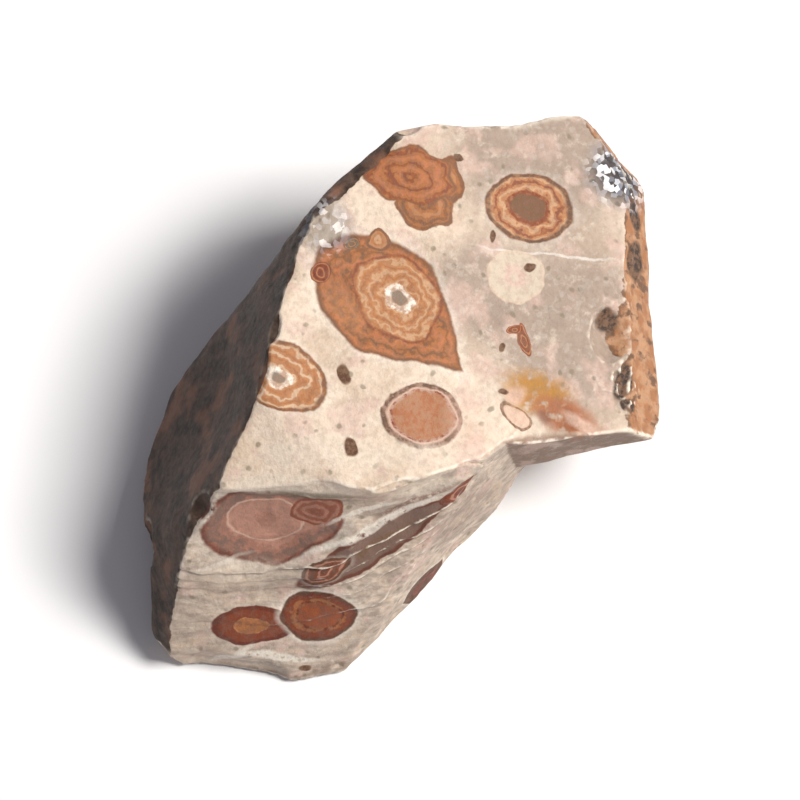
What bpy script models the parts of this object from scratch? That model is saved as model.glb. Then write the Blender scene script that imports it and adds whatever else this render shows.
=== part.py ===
"""Leopardite: one hand-broken lump of spotted rhyolite, as a closed faceted solid.

The stone was knocked off a bigger block with a hammer. Its form is a few nearly flat fracture faces that
meet in crisp edges, with shell-shaped chips bitten out of them. Every face and chip is stated below by
where it looks and how far it lies from a core point inside the stone. The surface is then worked out for
every direction as seen from that core: it lies where a ray from the core first meets a face or a chip.

The stone lies as found, spotted face up. +X runs along its shorter way, from the weathered west side to
the stained east rim, and +Y from the low foot to the high north end. Azimuth is counted from +X towards
+Y, and rise is the angle above the level plane, both in degrees. Places are in millimetres from the point
on the floor right below the core, and the finished stone is moved to have the middle of its box there.
"""
import math

import bpy
import numpy as np

NAME = "leopardite"
MILLIMETRE = 0.001

# Height of the core above the floor, and how far the edges are worn round
CORE_HEIGHT = 12.0
EDGE_WEAR = 0.14

# Faces around the whole stone: azimuth, rise and distance from the core
AROUND = {
    "spotted face, west": (-6, 84.5, 9.8),
    "spotted face, east": (0, 75, 10.05),
    "spotted face, south": (-125, 72, 12.85),
    "north-west shoulder": (128, 58, 17.6),
    "north-west side": (128, 0, 18.0),
    "west flank": (139.3, 6, 16.8),
    "west side": (164.8, 25.3, 15.1),
    "west side of the foot": (-159.5, 24, 20.6),
    "west end of the foot": (-176.4, 0, 22.7),
    "corner of the foot": (-143, 18, 23.8),
    "north side": (97, 7, 23.4),
    "north-east side": (36.5, 15, 28.2),
    "east rim": (0.7, 28.6, 19.9),
    "east side": (3.7, -3, 22.3),
    "under the north": (95, -58, 15.6),
    "under the north-east": (48, -54, 17.8),
    "under the east": (5, -54, 15.6),
    "under the west": (176, -45, 21.6),
    "under the north-west": (135, -55, 16.1),
    "under the corner of the foot": (-140, -25, 29.6),
    "under the foot": (-105, -80.5, 15.2),
}

# Faces of the south-east side, which the upper slab and the foot share
FLANKS = {
    "flank": (-45.4, 4, 10.4),
    "under the flank": (-38, -32, 13.8),
    "under the slab": (-15, -20, 12.0),
}

# The three blocks that the stone is made of: the upper slab, its thin overhanging wing and the low foot
SLAB = AROUND | FLANKS | {
    "slab edge, west": (-93, -1, 9.9),
    "slab edge, east": (-70, 3, 9.1),
}
WING = AROUND | {
    "wing edge": (-80.7, 1, 6.45),
    "under the wing": (-66, -61, 4.4),
}
FOOT = AROUND | FLANKS | {
    "foot slope": (-91, 33, 12.0),
    "foot slope, east": (-80, 29, 11.4),
    "heel": (-94, 23, 16.9),
    "low flank": (-55, 16, 11.2),
    "front of the foot": (-98, 0, 23.1),
}

# Shell-shaped chips: place, azimuth and rise that they look along, length, width, depth, turn of the length
CHIPS = {
    "big chip of the north side": ((7, 24, 13), 97, 6, 20, 15, 1.5, 0),
    "north-west chip": ((-4, 19, 9), 128, 0, 12, 10, 1.0, 20),
    "hollow of the west side": ((-16, 2, 13), 165, 25, 18, 9, 0.5, 40),
    "east chip": ((21, 10, 6), 10, -40, 13, 7, 0.7, 14),
    "chip under the north end": ((4, 16, 4), 95, -58, 15, 8, 0.8, 12),
    "upper hollow of the foot": ((-11, -12, 15.5), -91, 31, 14, 9, 0.6, 4),
    "lower hollow of the foot": ((-10, -17, 9), -91, 33, 12, 4, 0.35, 3),
    "long terrace of the foot": ((-1.8, -11.9, 13.5), -80, 29, 18, 4, 0.5, 36),
    "thin terrace of the foot": ((-0.7, -10, 16.5), -80, 29, 13, 2.2, 0.3, 25),
    "chip at the front of the foot": ((-14, -20, 2.5), -98, 5, 11, 5, 0.8, 0),
    "notch in the slab edge": ((-7, -9.7, 21), -92, 40, 4, 3, 0.5, 0),
    "hollow of the spotted face": ((12, -1, 19.5), -20, 72, 9, 5, 0.35, 20),
    "flank chip": ((5, -10, 4.5), -42, -8, 7, 4, 0.6, 25),
    "low flank chip": ((0, -15, 3), -46, -10, 5, 3, 0.4, 10),
    "north-east pit": ((18.5, 20.5, 16.8), 25, 55, 4, 2.5, 0.6, 0),
    "first rim pit": ((19, 7, 17), 0, 55, 3.2, 1.5, 0.45, 20),
    "second rim pit": ((19, 1.6, 17), 0, 55, 3.6, 1.6, 0.45, -12),
    "third rim pit": ((20, 12, 16.5), 0, 50, 2.8, 1.3, 0.4, 0),
}

# Unevenness of the fracture faces: wavelength and height of the long rolls and of the short lumps
UNEVENNESS = ((11.0, 0.16), (4.2, 0.07))
WAVE_COUNT = 12
WAVE_SPREAD = (0.7, 1.4)

# Fineness and half sizes of the round blank that the surface is worked out on, and the triangles kept
SPHERE_STEPS = 8
HALF_SIZES = (22.0, 23.0, 12.0)
KEPT_TRIANGLES = 9000

# Reach of a ray that meets nothing
FAR = 1000.0

# Colour of the rock, as a first finish
ROCK_COLOUR = (0.62, 0.50, 0.40, 1.0)
ROCK_ROUGHNESS = 0.6


def heading(azimuth, rise):
    """Unit vector that looks along an azimuth and a rise."""
    turn, lift = math.radians(azimuth), math.radians(rise)
    return np.array([math.cos(lift) * math.cos(turn), math.cos(lift) * math.sin(turn), math.sin(lift)])


def face_reach(rays, azimuth, rise, distance):
    """How far each ray runs to a flat face: its distance over the cosine between ray and heading."""
    facing = rays @ heading(azimuth, rise)
    return distance / np.maximum(facing, distance / FAR)


def nearest(reaches):
    """Soft minimum of several reaches, which wears the edges round where two of them are equal."""
    reaches = np.stack(reaches)
    least = reaches.min(axis=0)
    return least - EDGE_WEAR * np.log(np.exp((least - reaches) / EDGE_WEAR).sum(axis=0))


def flat_reach(rays):
    """How far each ray runs inside the flat faces: the longest run of slab, wing and foot."""
    runs = [nearest([face_reach(rays, *face) for face in block.values()]) for block in (SLAB, WING, FOOT)]
    return np.max(runs, axis=0)


def chip_reach(rays, place, azimuth, rise, length, width, depth, turn):
    """How far each ray runs to the near side of an egg that bites into the surface.

    Across its width the egg is a circle that is depth deep where the opening is width wide, so its radius
    is width squared over 8 depths, plus half a depth. Its length is stretched in the same proportion.
    """
    way = np.array([place[0], place[1], place[2] - CORE_HEIGHT])
    way /= np.linalg.norm(way)
    out = heading(azimuth, rise)
    level = heading(azimuth + 90, 0)
    up = np.cross(out, level)
    tilt = math.radians(turn)
    along = math.cos(tilt) * level + math.sin(tilt) * up
    across = math.cos(tilt) * up - math.sin(tilt) * level

    radius = width ** 2 / (8 * depth) + depth / 2
    squeeze = np.stack([along * width / length, across, out]) / radius
    middle = squeeze @ (way * flat_reach(way[None])[0] + out * (radius - depth))
    aim = rays @ squeeze.T
    a, b, c = (aim ** 2).sum(axis=1), aim @ middle, middle @ middle - 1
    root = b ** 2 - a * c
    return np.where((root > 0) & (b > 0), (b - np.sqrt(np.maximum(root, 0))) / a, FAR)


def waves(points, wavelength, seed):
    """Even unrest of about -1 to 1: plane waves of seeded headings, lengths and phases, added up."""
    dice = np.random.default_rng(seed)
    ways = dice.normal(size=(WAVE_COUNT, 3))
    ways /= np.linalg.norm(ways, axis=1)[:, None] * wavelength * dice.uniform(*WAVE_SPREAD, (WAVE_COUNT, 1))
    phases = dice.uniform(0, 2 * math.pi, WAVE_COUNT)
    return np.sin(2 * math.pi * points @ ways.T + phases).sum(axis=1) / math.sqrt(WAVE_COUNT)


def surface_reach(rays):
    """How far each ray runs to the stone's surface, which ends flat on the floor."""
    reach = nearest([flat_reach(rays)] + [chip_reach(rays, *chip) for chip in CHIPS.values()])
    for seed, (wavelength, height) in enumerate(UNEVENNESS):
        reach = reach + height * waves(rays * reach[:, None], wavelength, seed)
    return np.minimum(reach, face_reach(rays, 0, -90, CORE_HEIGHT))


def rock_material():
    """Plain cream rock."""
    material = bpy.data.materials.new("rock")
    material.use_nodes = True
    shader = material.node_tree.nodes["Principled BSDF"]
    shader.inputs["Base Color"].default_value = ROCK_COLOUR
    shader.inputs["Roughness"].default_value = ROCK_ROUGHNESS
    return material


def make_stone(collection):
    """Round blank whose vertices are moved out to the stone's surface, then thinned to its facets."""
    bpy.ops.mesh.primitive_ico_sphere_add(subdivisions=SPHERE_STEPS, radius=1.0)
    stone = bpy.context.object
    stone.name = "stone"
    mesh = stone.data
    rays = np.empty(len(mesh.vertices) * 3)
    mesh.vertices.foreach_get("co", rays)
    rays = rays.reshape(-1, 3) * HALF_SIZES
    rays /= np.linalg.norm(rays, axis=1)[:, None]

    points = rays * surface_reach(rays)[:, None]
    middle = (points.min(axis=0) + points.max(axis=0)) / 2
    points -= (middle[0], middle[1], -CORE_HEIGHT)
    mesh.vertices.foreach_set("co", (points * MILLIMETRE).ravel())
    mesh.update()
    mesh.materials.append(rock_material())

    thin = stone.modifiers.new("thin", "DECIMATE")
    thin.ratio = KEPT_TRIANGLES / len(mesh.polygons)
    for holder in stone.users_collection:
        holder.objects.unlink(stone)
    collection.objects.link(stone)


for leftover in list(bpy.data.objects):
    bpy.data.objects.remove(leftover)
stone_collection = bpy.data.collections.new(NAME)
bpy.context.scene.collection.children.link(stone_collection)
make_stone(stone_collection)
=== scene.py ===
"""Leopardite: a hand-broken lump of spotted rhyolite, lying as found with its spotted face up.

Places and sizes of the rock are in millimetres. +X runs to the stained east rim, +Y to the high north end.
Azimuth is counted from +X towards +Y, and rise is the angle above the level plane, both in degrees.
"""
import math

import bpy
import numpy as np
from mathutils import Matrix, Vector


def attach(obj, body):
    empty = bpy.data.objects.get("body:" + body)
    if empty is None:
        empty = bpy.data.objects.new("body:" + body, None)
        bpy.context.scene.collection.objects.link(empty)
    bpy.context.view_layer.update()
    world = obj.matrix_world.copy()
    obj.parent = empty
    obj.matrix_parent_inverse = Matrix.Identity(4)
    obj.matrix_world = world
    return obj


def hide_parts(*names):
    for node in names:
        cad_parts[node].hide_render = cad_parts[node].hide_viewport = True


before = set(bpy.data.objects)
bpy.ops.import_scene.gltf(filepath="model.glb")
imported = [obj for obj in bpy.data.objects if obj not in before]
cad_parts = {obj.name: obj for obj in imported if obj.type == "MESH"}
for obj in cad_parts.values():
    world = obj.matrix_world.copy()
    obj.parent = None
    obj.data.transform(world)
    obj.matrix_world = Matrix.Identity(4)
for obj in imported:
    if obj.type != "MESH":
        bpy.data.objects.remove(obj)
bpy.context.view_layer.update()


# The broken form of the stone
# A lump of rhyolite, knocked off a bigger block with a hammer. Nearly flat fracture faces meet in crisp
# edges, and shell-shaped chips are bitten out of them. The surface is worked out along rays from a core.
MILLIMETRE = 0.001
CORE_HEIGHT = 12.0
EDGE_WEAR = 0.14
# Reach of a ray that meets nothing
FAR = 1000.0

# Faces around the whole stone: azimuth, rise and distance from the core
AROUND = {
    "spotted face, west": (-6, 84.5, 9.8),
    "spotted face, east": (0, 75, 10.05),
    "spotted face, south": (-125, 72, 12.85),
    "north-west shoulder": (128, 58, 17.6),
    "north-west side": (128, 0, 18.0),
    "west flank": (139.3, 6, 16.8),
    "west side": (164.8, 25.3, 15.1),
    "west side of the foot": (-159.5, 24, 20.6),
    "west end of the foot": (-176.4, 0, 22.7),
    "corner of the foot": (-143, 18, 23.8),
    "north side": (97, 7, 23.4),
    "north-east side": (36.5, 15, 28.2),
    "east rim": (0.7, 28.6, 19.9),
    "east side": (3.7, -3, 22.3),
    "under the north": (95, -58, 15.6),
    "under the north-east": (48, -54, 17.8),
    "under the east": (5, -54, 15.6),
    "under the west": (176, -45, 21.6),
    "under the north-west": (135, -55, 16.1),
    "under the corner of the foot": (-140, -25, 29.6),
    "under the foot": (-105, -80.5, 15.2),
}
# Faces of the south-east side, which the upper slab and the foot share
FLANKS = {
    "flank": (-45.4, 4, 10.4),
    "under the flank": (-38, -32, 13.8),
    "under the slab": (-15, -20, 12.0),
}
# The three blocks of the stone: the upper slab, its thin overhanging wing and the low foot
SLAB = AROUND | FLANKS | {
    "slab edge, west": (-93, -1, 9.9),
    "slab edge, east": (-70, 3, 9.1),
}
WING = AROUND | {
    "wing edge": (-80.7, 1, 6.45),
    "under the wing": (-66, -61, 4.4),
}
FOOT = AROUND | FLANKS | {
    "foot slope": (-91, 33, 12.0),
    "foot slope, east": (-80, 29, 11.4),
    "heel": (-94, 23, 16.9),
    "low flank": (-55, 16, 11.2),
    "front of the foot": (-98, 0, 23.1),
}
# Chips: place, azimuth and rise that they look along, length, width, depth and turn of the length
CHIPS = {
    "big chip of the north side": ((7, 24, 13), 97, 6, 20, 15, 1.5, 0),
    "north-west chip": ((-4, 19, 9), 128, 0, 12, 10, 1.0, 20),
    "hollow of the west side": ((-16, 2, 13), 165, 25, 18, 9, 0.5, 40),
    "east chip": ((21, 10, 6), 10, -40, 13, 7, 0.7, 14),
    "chip under the north end": ((4, 16, 4), 95, -58, 15, 8, 0.8, 12),
    "upper hollow of the foot": ((-11, -12, 15.5), -91, 31, 14, 9, 0.6, 4),
    "lower hollow of the foot": ((-10, -17, 9), -91, 33, 12, 4, 0.35, 3),
    "long terrace of the foot": ((-1.8, -11.9, 13.5), -80, 29, 18, 4, 0.5, 36),
    "thin terrace of the foot": ((-0.7, -10, 16.5), -80, 29, 13, 2.2, 0.3, 25),
    "chip at the front of the foot": ((-14, -20, 2.5), -98, 5, 11, 5, 0.8, 0),
    "notch in the slab edge": ((-7, -9.7, 21), -92, 40, 4, 3, 0.5, 0),
    "hollow of the spotted face": ((12, -1, 19.5), -20, 72, 9, 5, 0.35, 20),
    "flank chip": ((5, -10, 4.5), -42, -8, 7, 4, 0.6, 25),
    "low flank chip": ((0, -15, 3), -46, -10, 5, 3, 0.4, 10),
    "north-east pit": ((18.5, 20.5, 16.8), 25, 55, 4, 2.5, 0.6, 0),
    "first rim pit": ((19, 7, 17), 0, 55, 3.2, 1.5, 0.45, 20),
    "second rim pit": ((19, 1.6, 17), 0, 55, 3.6, 1.6, 0.45, -12),
    "third rim pit": ((20, 12, 16.5), 0, 50, 2.8, 1.3, 0.4, 0),
}
# Wavelength and height of the long rolls and of the short lumps
UNEVENNESS = ((11.0, 0.16), (4.2, 0.07))
WAVE_COUNT = 12
WAVE_SPREAD = (0.7, 1.4)


def heading(azimuth, rise):
    """Unit vector that looks along an azimuth and a rise."""
    turn, lift = math.radians(azimuth), math.radians(rise)
    return np.array([math.cos(lift) * math.cos(turn), math.cos(lift) * math.sin(turn), math.sin(lift)])


def face_reach(rays, azimuth, rise, distance):
    """How far each ray runs to a flat face: its distance over the cosine between ray and heading."""
    facing = rays @ heading(azimuth, rise)
    return distance / np.maximum(facing, distance / FAR)


def nearest(reaches, wear=EDGE_WEAR):
    """Soft minimum of several reaches, which wears the edges round where two of them are equal."""
    reaches = np.stack(reaches)
    least = reaches.min(axis=0)
    return least - wear * np.log(np.exp((least - reaches) / wear).sum(axis=0))


def flat_reach(rays):
    """How far each ray runs inside the flat faces: the longest run of slab, wing and foot."""
    runs = [nearest([face_reach(rays, *face) for face in block.values()]) for block in (SLAB, WING, FOOT)]
    return np.max(runs, axis=0)


def bite_reach(rays, mouth, out, along, length, width, depth):
    """How far each ray runs to the near side of an egg that bites into the surface at its mouth.

    Across its width the egg is a circle that is depth deep where the opening is width wide, so its radius
    is width squared over 8 depths, plus half a depth. Its length is stretched in the same proportion.
    """
    radius = width ** 2 / (8 * depth) + depth / 2
    squeeze = np.stack([along * width / length, np.cross(out, along), out]) / radius
    middle = squeeze @ (mouth + out * (radius - depth))
    aim = rays @ squeeze.T
    a, b, c = (aim ** 2).sum(axis=1), aim @ middle, middle @ middle - 1
    root = b ** 2 - a * c
    return np.where((root > 0) & (b > 0), (b - np.sqrt(np.maximum(root, 0))) / a, FAR)


def chip_reach(rays, place, azimuth, rise, length, width, depth, turn):
    """Reach of a chip that looks along azimuth and rise, its length turned that much from the level."""
    way = np.array([place[0], place[1], place[2] - CORE_HEIGHT])
    way /= np.linalg.norm(way)
    out = heading(azimuth, rise)
    level = heading(azimuth + 90, 0)
    along = math.cos(math.radians(turn)) * level + math.sin(math.radians(turn)) * np.cross(out, level)
    return bite_reach(rays, way * flat_reach(way[None])[0], out, along, length, width, depth)


def waves(points, wavelength, seed):
    """Even unrest of about -1 to 1: plane waves of seeded headings, lengths and phases, added up."""
    dice = np.random.default_rng(seed)
    ways = dice.normal(size=(WAVE_COUNT, 3))
    ways /= np.linalg.norm(ways, axis=1)[:, None] * wavelength * dice.uniform(*WAVE_SPREAD, (WAVE_COUNT, 1))
    phases = dice.uniform(0, 2 * math.pi, WAVE_COUNT)
    return np.sin(2 * math.pi * points @ ways.T + phases).sum(axis=1) / math.sqrt(WAVE_COUNT)


def broken_reach(rays):
    """How far each ray runs to the broken form: faces and chips, made uneven by rolls and lumps."""
    reach = nearest([flat_reach(rays)] + [chip_reach(rays, *chip) for chip in CHIPS.values()])
    for seed, (wavelength, height) in enumerate(UNEVENNESS):
        reach = reach + height * waves(rays * reach[:, None], wavelength, seed)
    return reach


# The fine breakage of the stone
# The blow left ledges in arcs around the place it came from, a hackly grain on every broken face, small
# flakes off the edges, and rough patches where coarse quartz broke out.
LATTICE = 64
FACE_BLUR = 0.25

# Size and height of the grain, how much smoother the spotted face is, and size and depth of the hackle
GRAIN = ((2.6, 0.050), (1.1, 0.045), (0.5, 0.028))
GRAIN_SEED = 20
SPOTTED_GRAIN = 0.6
HACKLE = (1.7, 0.10)
HACKLE_SEED = 31

# Place of the blow, height of the ledges by the way from it, and size and reach of their unrest
BLOW = (-14.0, 1.0, 35.0)
LEDGES = (
    (22.5, 0), (24.6, 0.10), (24.9, 0), (27.7, 0.42), (28.15, -0.05), (29.1, 0.08), (29.3, -0.02),
    (30.1, 0.12), (30.3, 0), (31.6, 0.10), (31.8, 0), (34.0, 0.22), (34.3, 0), (38.0, 0.15),
)
LEDGE_UNREST = ((5.0, 0.7), (1.3, 0.25))
LEDGE_SEED = 11

# Size and depth of the nibbles along the edges, and how far from an edge they reach
NIBBLES = ((1.9, 0.30), (0.8, 0.14))
NIBBLE_SEED = 41
NIBBLE_REACH = 0.35

# Flakes: number, least and most width, length over width, depth over width, and lean to one of the faces.
# They bite where the edge share is high enough, off the low side and away from the wing's corner
FLAKES = 80
FLAKE_TRIES = 8000
FLAKE_SEED = 5
FLAKE_SIZES = (0.7, 2.4)
FLAKE_STRETCH = (1.0, 2.0)
FLAKE_DEPTH = (0.05, 0.11)
FLAKE_LEAN = (0.3, 2.5)
FLAKE_SINK = 0.1
FLAKE_MARGIN = 1.0
FLAKE_WEAR = 0.03
FLAKE_BLUR = 0.2
LEAST_SHARE = 0.6
LEAST_RISE = -0.5
SHARP_TURN = 0.25
WHOLE_CORNER = (-6, 2)
WHOLE_SPAN = 24

SPOTTED = ("spotted face, west", "spotted face, east", "spotted face, south")
SLOPES = ("foot slope", "foot slope, east", "heel", "low flank")

# Rough patches: middle, radius and height, and the sizes of their grain
ROUGH_PATCHES = {
    "quartz at the north-east": ((19.2, 20.2, 16.6), 4.3, 0.30),
    "quartz at the north-west": ((-6.6, 13.8, 22.6), 3.4, 0.22),
    "vugs of the rim, north": ((18.6, 8.0, 17.2), 2.6, 0.22),
    "vugs of the rim, south": ((18.9, 1.0, 17.2), 2.6, 0.25),
}
ROUGH_SIZES = (0.9, 0.45)
ROUGH_SEED = 51


def grain(points, size, seed):
    """Smooth random relief from -1 to 1: random heights on a cubic lattice of that spacing, blended
    between the lattice points with the S-curve 3t² - 2t³ of the way t from one to the next."""
    lattice = np.random.default_rng(seed).uniform(-1, 1, (LATTICE,) * 3)
    cell = np.floor(points / size).astype(int)
    way = points / size - cell
    way = way * way * (3 - 2 * way)
    height = np.zeros(len(points))
    for corner in np.ndindex(2, 2, 2):
        share = np.where(np.array(corner) == 1, way, 1 - way).prod(axis=1)
        height += share * lattice[tuple(((cell + corner) % LATTICE).T)]
    return height


def by_block(rays, measure):
    """What a measure of the faces' reaches says in the block that reaches furthest, ray by ray."""
    ends, found = [], []
    for block in (SLAB, WING, FOOT):
        reaches = np.stack([face_reach(rays, *face) for face in block.values()])
        ends.append(reaches.min(axis=0))
        found.append(measure(block, reaches))
    return np.choose(np.argmax(ends, axis=0), found)


def belonging(rays, names):
    """How much each ray's end belongs to the named faces, from 0 to 1: each face weighs e to the power
    of how much further than the nearest face it lies, over the blur, taken negative."""
    def share(block, reaches):
        weights = np.exp((reaches.min(axis=0) - reaches) / FACE_BLUR)
        return weights[[name in names for name in block]].sum(axis=0) / weights.sum(axis=0)
    return by_block(rays, share)


def edge_share(rays, blur):
    """1 on a sharp edge and nothing away from it or where two faces hardly turn: e to the power of the
    gap between the two nearest faces over the blur, taken negative, times their turn."""
    def share(block, reaches):
        outs = np.array([heading(azimuth, rise) for azimuth, rise, distance in block.values()])
        order = np.argsort(reaches, axis=0)[:2]
        gap = np.diff(np.take_along_axis(reaches, order, axis=0), axis=0)[0]
        turn = 1 - (outs[order[0]] * outs[order[1]]).sum(axis=1)
        return np.exp(-gap / blur) * np.clip(turn / SHARP_TURN, 0, 1)
    return by_block(rays, share)


def ledge_height(points):
    """Height of the ledges: a slow rise and a sudden drop, over and over, with the way from the blow."""
    way = np.linalg.norm(points - np.subtract(BLOW, (0, 0, CORE_HEIGHT)), axis=1)
    for seed, (size, reach) in enumerate(LEDGE_UNREST):
        way += reach * grain(points, size, LEDGE_SEED + seed)
    return np.interp(way, *zip(*LEDGES))


def flake_edges(rays, reach):
    """Bites shallow flakes off the sharp edges by chance, each looking out between the two faces that
    meet there. The corner of the wing is left whole."""
    dice = np.random.default_rng(FLAKE_SEED)
    tries = dice.normal(size=(FLAKE_TRIES, 3))
    tries /= np.linalg.norm(tries, axis=1)[:, None]
    whole = tries @ heading(*WHOLE_CORNER) > math.cos(math.radians(WHOLE_SPAN))
    sharp = edge_share(tries, FLAKE_BLUR) > LEAST_SHARE
    tries = tries[sharp & (tries[:, 2] > LEAST_RISE) & ~whole][:FLAKES]
    faces = list((SLAB | WING | FOOT).values())
    outs = np.array([heading(azimuth, rise) for azimuth, rise, distance in faces])
    for way in tries:
        runs = np.array([face_reach(way[None], *face)[0] for face in faces])
        end = flat_reach(way[None])[0]
        first, second = np.argsort(abs(runs - end))[:2]
        out = outs[first] * dice.uniform(*FLAKE_LEAN) + outs[second]
        out /= np.linalg.norm(out)
        along = np.cross(outs[first], outs[second])
        along /= np.linalg.norm(along)
        width = dice.uniform(*FLAKE_SIZES)
        length = width * dice.uniform(*FLAKE_STRETCH)
        depth = width * dice.uniform(*FLAKE_DEPTH)
        near = rays @ way > math.cos((length + FLAKE_MARGIN) / end)
        bite = bite_reach(rays[near], way * (end - FLAKE_SINK), out, along, length, width, depth)
        reach[near] = nearest([reach[near], bite], FLAKE_WEAR)
    return reach


def surface_reach(rays):
    """How far each ray runs to the finished surface, which ends flat on the floor."""
    reach = flake_edges(rays, broken_reach(rays))
    points = rays * reach[:, None]
    smooth = SPOTTED_GRAIN * belonging(rays, SPOTTED)
    for seed, (size, height) in enumerate(GRAIN):
        reach = reach + (1 - smooth) * height * grain(points, size, GRAIN_SEED + seed)
    size, height = HACKLE
    reach = reach - (1 - smooth) ** 2 * height * abs(grain(points, size, HACKLE_SEED))
    reach = reach + belonging(rays, SLOPES) * ledge_height(points)
    for seed, (size, height) in enumerate(NIBBLES):
        nibble = np.maximum(grain(points, size, NIBBLE_SEED + seed), 0)
        reach = reach - height * nibble * edge_share(rays, NIBBLE_REACH)
    rough = sum(abs(grain(points, size, ROUGH_SEED + seed)) for seed, size in enumerate(ROUGH_SIZES))
    for place, radius, height in ROUGH_PATCHES.values():
        way = np.linalg.norm(points - np.subtract(place, (0, 0, CORE_HEIGHT)), axis=1) / radius
        reach = reach - height * rough * np.exp(-way ** 4)
    return np.minimum(reach, face_reach(rays, 0, -90, CORE_HEIGHT))


# The stone as one closed mesh
# Its surface is worked out on a square grid that wraps the whole stone, as an octahedron unfolds into a
# square, and thinned where it is flat.
GRID = 480
HALF_SIZES = (22.0, 23.0, 12.0)
KEPT_TRIANGLES = 190000


def ball_grid(steps):
    """Rays and triangles of a ball as a square grid. The height is 1 - |u| - |v|, and where that is
    negative, u and v are folded back over the diagonals by as much. Then the octahedron is stretched to
    the stone's half sizes. Grid points that meet on the square's border are taken as one."""
    u, v = np.meshgrid(*[np.linspace(-1, 1, steps + 1)] * 2, indexing="ij")
    height = 1 - abs(u) - abs(v)
    fold = np.maximum(-height, 0)
    rays = np.stack([u - np.sign(u) * fold, v - np.sign(v) * fold, height], axis=-1)
    rays /= np.linalg.norm(rays, axis=-1)[..., None]
    rays = (rays * HALF_SIZES).reshape(-1, 3)
    rays /= np.linalg.norm(rays, axis=1)[:, None]

    number = np.arange(len(rays)).reshape(steps + 1, steps + 1)
    for side in (number[0], number[-1], number[:, 0], number[:, -1]):
        side[:] = np.minimum(side, side[::-1])
    number[[0, 0, -1, -1], [0, -1, 0, -1]] = number[0, 0]
    a, b, c, d = number[:-1, :-1], number[1:, :-1], number[1:, 1:], number[:-1, 1:]
    middle = (np.arange(steps) + 0.5) * 2 / steps - 1
    same = (middle[:, None] * middle[None] > 0)[..., None, None]
    falling = np.stack([np.stack([a, b, d], -1), np.stack([b, c, d], -1)], 2)
    rising = np.stack([np.stack([a, b, c], -1), np.stack([a, c, d], -1)], 2)
    triangles = np.where(same, falling, rising).reshape(-1, 3)
    used, triangles = np.unique(triangles, return_inverse=True)
    return rays[used], triangles.reshape(-1, 3)


def add_mesh(name, points, triangles):
    """Smooth shaded mesh object of points and triangles."""
    mesh = bpy.data.meshes.new(name)
    mesh.from_pydata(points, [], triangles)
    mesh.shade_smooth()
    piece = bpy.data.objects.new(name, mesh)
    bpy.context.scene.collection.objects.link(piece)
    return piece


def read_points(mesh):
    """The mesh's points as rows of three."""
    points = np.empty(len(mesh.vertices) * 3, np.float32)
    mesh.vertices.foreach_get("co", points)
    return points.reshape(-1, 3).astype(float)


grid_rays, grid_triangles = ball_grid(GRID)
outline = broken_reach(grid_rays)
outline = np.minimum(outline, face_reach(grid_rays, 0, -90, CORE_HEIGHT))[:, None] * grid_rays
shift = (outline.min(axis=0) + outline.max(axis=0)) / 2
shift[2] = -CORE_HEIGHT
surface = grid_rays * surface_reach(grid_rays)[:, None] - shift
stone = add_mesh("spotted_stone", surface * MILLIMETRE, grid_triangles)
thin = stone.modifiers.new("thin", "DECIMATE")
thin.ratio = KEPT_TRIANGLES / len(grid_triangles)
thinned = bpy.data.meshes.new_from_object(stone.evaluated_get(bpy.context.evaluated_depsgraph_get()))
stone.modifiers.clear()
stone.data = thinned
thinned.shade_smooth()


def bend_of(mesh):
    """How sharply the surface bends at each point, per millimetre: positive on a crest, negative in a
    crease. Along a mesh edge it is the change of the normal over the edge's length, and a point takes the
    mean of its edges, evened out once with its neighbours."""
    normals = np.empty(len(mesh.vertices) * 3, np.float32)
    mesh.vertex_normals.foreach_get("vector", normals)
    normals = normals.reshape(-1, 3)
    ends = np.empty(len(mesh.edges) * 2, np.int32)
    mesh.edges.foreach_get("vertices", ends)
    a, b = ends.reshape(-1, 2).T
    points = read_points(mesh) / MILLIMETRE
    along = points[b] - points[a]
    turn = ((normals[b] - normals[a]) * along).sum(axis=1) / (along ** 2).sum(axis=1)
    count = np.bincount(a, minlength=len(points)) + np.bincount(b, minlength=len(points))
    bend = (np.bincount(a, turn, len(points)) + np.bincount(b, turn, len(points))) / count
    spread = np.bincount(a, bend[b], len(points)) + np.bincount(b, bend[a], len(points))
    return (bend + spread / count) / 2


# Faces with the weathered rind, the stained rim, the low grey rock and the wing's edge; the rind and the
# wing's
# # edge are also painted darker as shade
RIND = ("north-west shoulder", "north-west side", "west flank", "west side", "west side of the foot",
        "west end of the foot", "corner of the foot", "under the west", "under the north-west")
RIM = ("east rim", "east side", "north-east side")
LOW = SLOPES + ("front of the foot", "flank", "under the flank", "under the slab")
WING_EDGE = ("wing edge", "under the wing")
kept = read_points(thinned) / MILLIMETRE + shift
kept_rays = kept / np.linalg.norm(kept, axis=1)[:, None]
MASKS = {
    "rind": belonging(kept_rays, RIND),
    "rim": belonging(kept_rays, RIM),
    "low": belonging(kept_rays, LOW),
    "wing": belonging(kept_rays, WING_EDGE),
    "crest": bend_of(thinned),
}
for mask_name, mask in MASKS.items():
    thinned.attributes.new(mask_name, "FLOAT", "POINT").data.foreach_set("value", mask.astype(np.float32))

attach(stone, "root")
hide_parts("stone")


# The ground of the rock
# Volcanic glass that has turned to fine feldspar and quartz: cream in the west, grey in the east and on the
# foot, with pink clouds and small dark and clear grains. It is solid colour, which the broken faces cut.
CREAM = (0.74, 0.60, 0.475)
CREAM_SHADE = (0.62, 0.48, 0.36)
EAST_GREY = (0.355, 0.270, 0.215)
LOW_GREY = (0.37, 0.295, 0.24)
PINK_CLOUD = (0.62, 0.43, 0.36)
PALE_CLOUD = (0.74, 0.63, 0.51)
OLIVE_GRAIN = (0.20, 0.165, 0.11)
CLEAR_GRAIN = (0.82, 0.78, 0.72)
# Grey-brown of the wing's edge and the face under it, painted darker as shade
WING_GREY_AND_SHADE = (0.27, 0.17, 0.12)

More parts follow.
